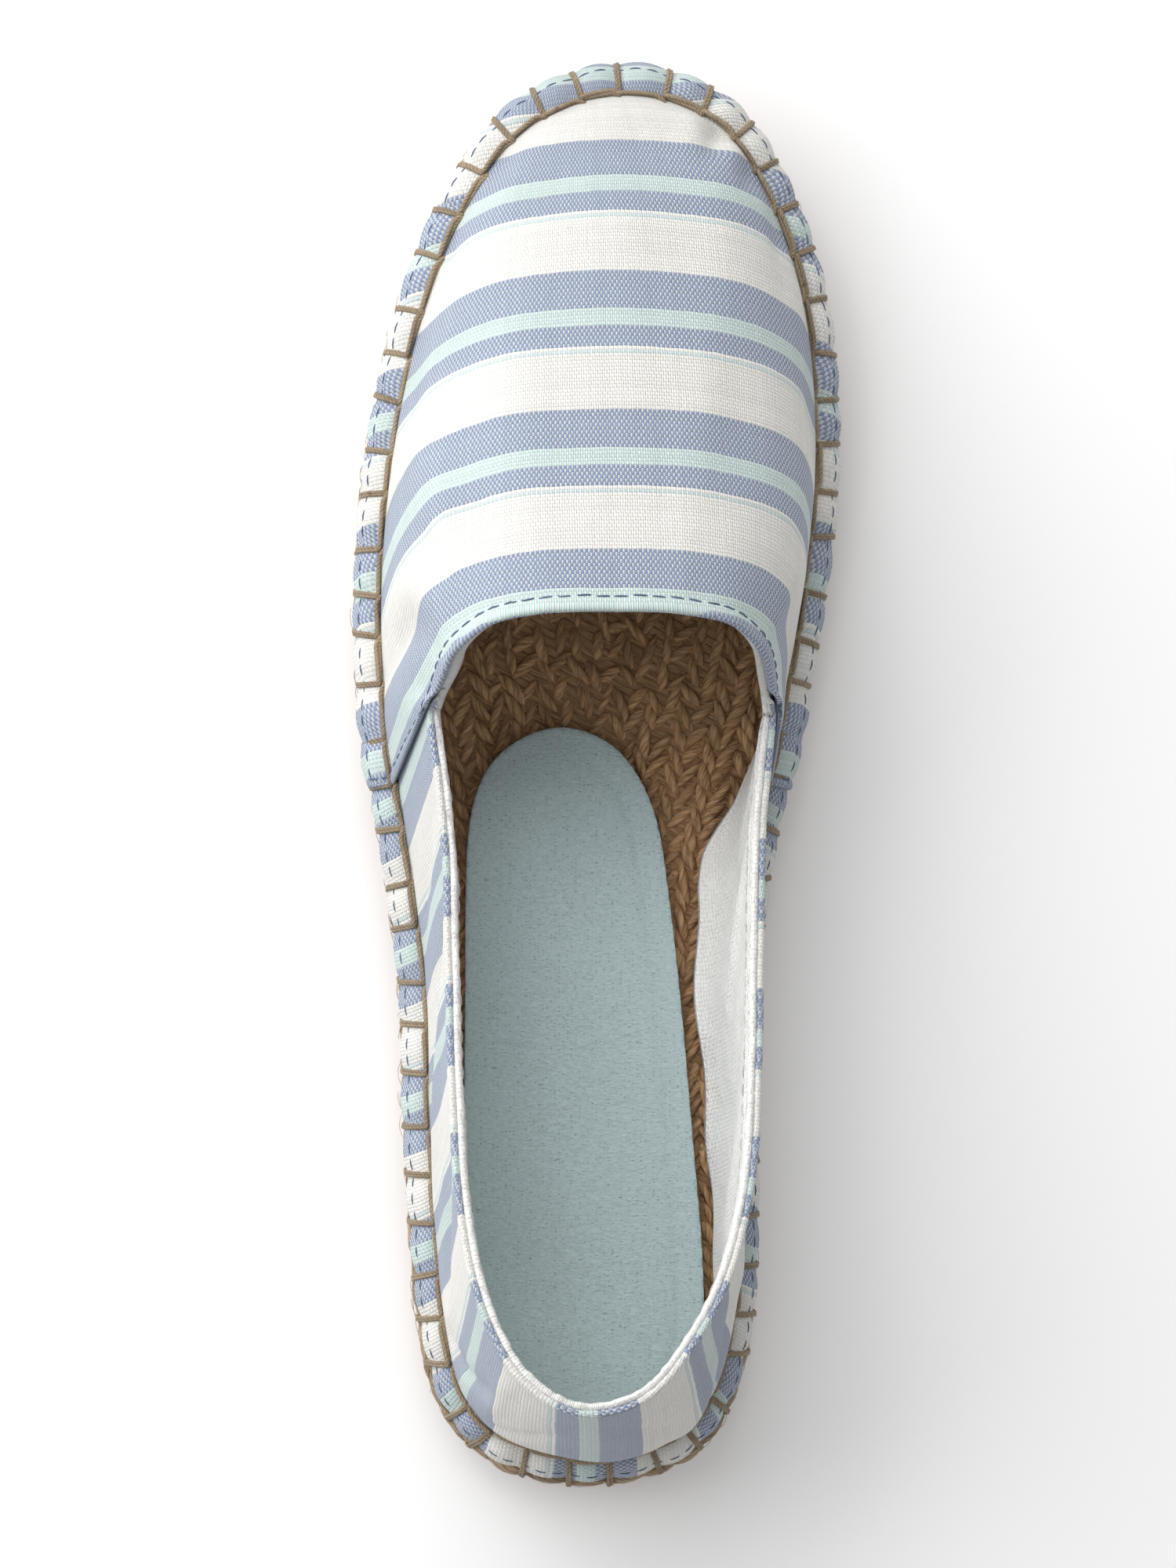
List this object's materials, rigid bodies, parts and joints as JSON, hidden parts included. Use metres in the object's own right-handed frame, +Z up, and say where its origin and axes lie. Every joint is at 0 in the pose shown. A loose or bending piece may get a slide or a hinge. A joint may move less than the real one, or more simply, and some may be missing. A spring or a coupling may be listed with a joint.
{
  "type": "espadrille",
  "caption": "Slip-on left espadrille: striped canvas upper lapped over a heel quarter, blanket-stitched to a coiled jute sole with a thin rubber outsole.",
  "frame": {"origin": "on the floor under the middle of the shoe's bounding box", "axes": "+Z up, +Y towards the heel, the toe towards -Y, +X towards the outer side of the left foot"},
  "size_m": [0.0859, 0.2508, 0.0725],
  "materials": {
    "canvas": "plain-weave cotton canvas with woven stripes",
    "lining": "napped cotton lining",
    "jute": "braided jute fibre",
    "thread": "waxed two-ply thread",
    "sock": "fine suede-like foam",
    "rubber": "matt gum rubber"
  },
  "bodies": {
    "root": {"outsole": "rubber", "midsole": "jute", "upper": "canvas", "insole": "sock"}
  },
  "joints": []
}
